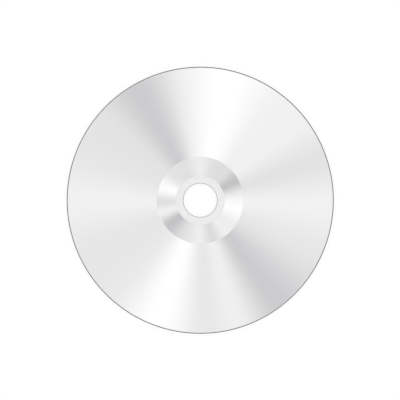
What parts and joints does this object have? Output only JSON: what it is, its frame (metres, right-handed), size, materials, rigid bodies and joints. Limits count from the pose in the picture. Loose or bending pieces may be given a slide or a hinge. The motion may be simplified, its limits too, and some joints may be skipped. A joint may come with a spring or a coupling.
{
  "type": "compact disc",
  "caption": "Optical disc, 120 mm across and 1.2 mm thick, moulded in clear plastic with a silver coated label side, a clear hub round the centre hole and a low stacking ring underneath.",
  "frame": {"origin": "on the disc's axis, level with the crest of the stacking ring that the disc stands on", "axes": "+Z along the disc's axis, out of the label side; X and Y are equivalent"},
  "size_m": [0.12, 0.12, 0.0014],
  "materials": {
    "disc": "clear polycarbonate, silver coated on the label side from 22 mm to 118.8 mm diameter, satin sheen with fine concentric tracks, clear gloss hub and rim"
  },
  "bodies": {
    "root": {"disc": "disc"}
  },
  "joints": []
}
